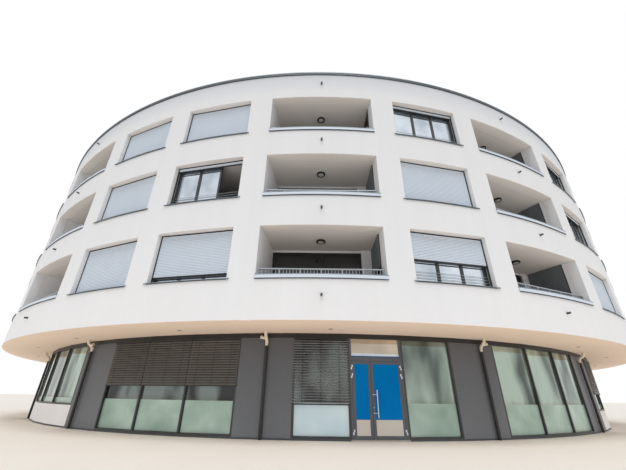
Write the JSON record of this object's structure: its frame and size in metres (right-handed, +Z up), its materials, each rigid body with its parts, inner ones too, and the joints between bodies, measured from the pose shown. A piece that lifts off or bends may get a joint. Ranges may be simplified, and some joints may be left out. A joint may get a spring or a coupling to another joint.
{
  "type": "round office building with loggias over a recessed ground floor",
  "caption": "Round white office building: three storeys of loggias and shuttered windows over a recessed glazed ground floor with a double door.",
  "frame": {"origin": "centre of the round plan, on the ground", "axes": "+Z up, -Y towards the front loggia column, the entrance 5.83 degrees to its right"},
  "size_m": [39.8988, 39.9, 13.46],
  "materials": {
    "white_render": "smooth painted render",
    "plinth_render": "painted render",
    "concrete": "cast concrete, painted where it is a soffit",
    "gravel": "loose gravel",
    "coping_metal": "coated sheet metal",
    "shutter_slats": "coated roll-formed slats",
    "window_unit": "glazed unit in dark frame",
    "loggia_glazing": "dark glazing",
    "dark_cladding": "smooth dark grey panels",
    "dark_frame": "powder coated",
    "shop_glass": "clear and frosted glass",
    "blind_slats": "coated slats",
    "pipe_metal": "painted pipe",
    "railing_metal": "galvanised and painted",
    "stainless": "brushed",
    "door_glass": "glass with plain blue sheets behind"
  },
  "bodies": {
    "building": {"ground_slab": "concrete", "first_floor_slab": "concrete", "floor_slab_2": "concrete", "floor_slab_3": "concrete", "roof_slab": "concrete", "roof_gravel": "gravel", "pillars": "white_render", "spandrels_1": "white_render", "spandrels_2": "white_render", "spandrels_3": "white_render", "roof_parapet": "white_render", "roof_coping": "coping_metal", "sills_and_copings": "coping_metal", "windows": "window_unit", "roller_shutters": "shutter_slats", "loggia_walls": "white_render", "loggia_glazing": "loggia_glazing", "loggia_railings": "railing_metal", "overflow_spouts": "coping_metal", "ground_panels": "dark_cladding", "ground_mullions": "dark_frame", "ground_glazing": "shop_glass", "base_rails": "dark_frame", "fascias": "dark_cladding", "plinth_walls": "plinth_render", "front_blinds": "blind_slats", "downpipes": "pipe_metal", "door_jambs": "dark_frame", "door_transom": "dark_frame", "door_top_light": "shop_glass", "frame_hinges": "stainless"},
    "left_door_leaf": {"left_leaf_frame": "dark_frame", "left_leaf_glass": "door_glass", "left_leaf_hinges": "stainless"},
    "right_door_leaf": {"right_leaf_frame": "dark_frame", "right_leaf_glass": "door_glass", "right_leaf_hinges": "stainless", "pull_handle": "stainless"}
  },
  "joints": [
    {"name": "left_leaf_swing", "type": "hinge", "parent": "building", "child": "left_door_leaf", "pos_m": [1.01552, -17.85871, 0.04], "axis": [0, 0, -1], "range_deg": [0, 95]},
    {"name": "right_leaf_swing", "type": "hinge", "parent": "building", "child": "right_door_leaf", "pos_m": [2.61475, -17.69542, 0.04], "axis": [0, 0, 1], "range_deg": [0, 95]}
  ]
}
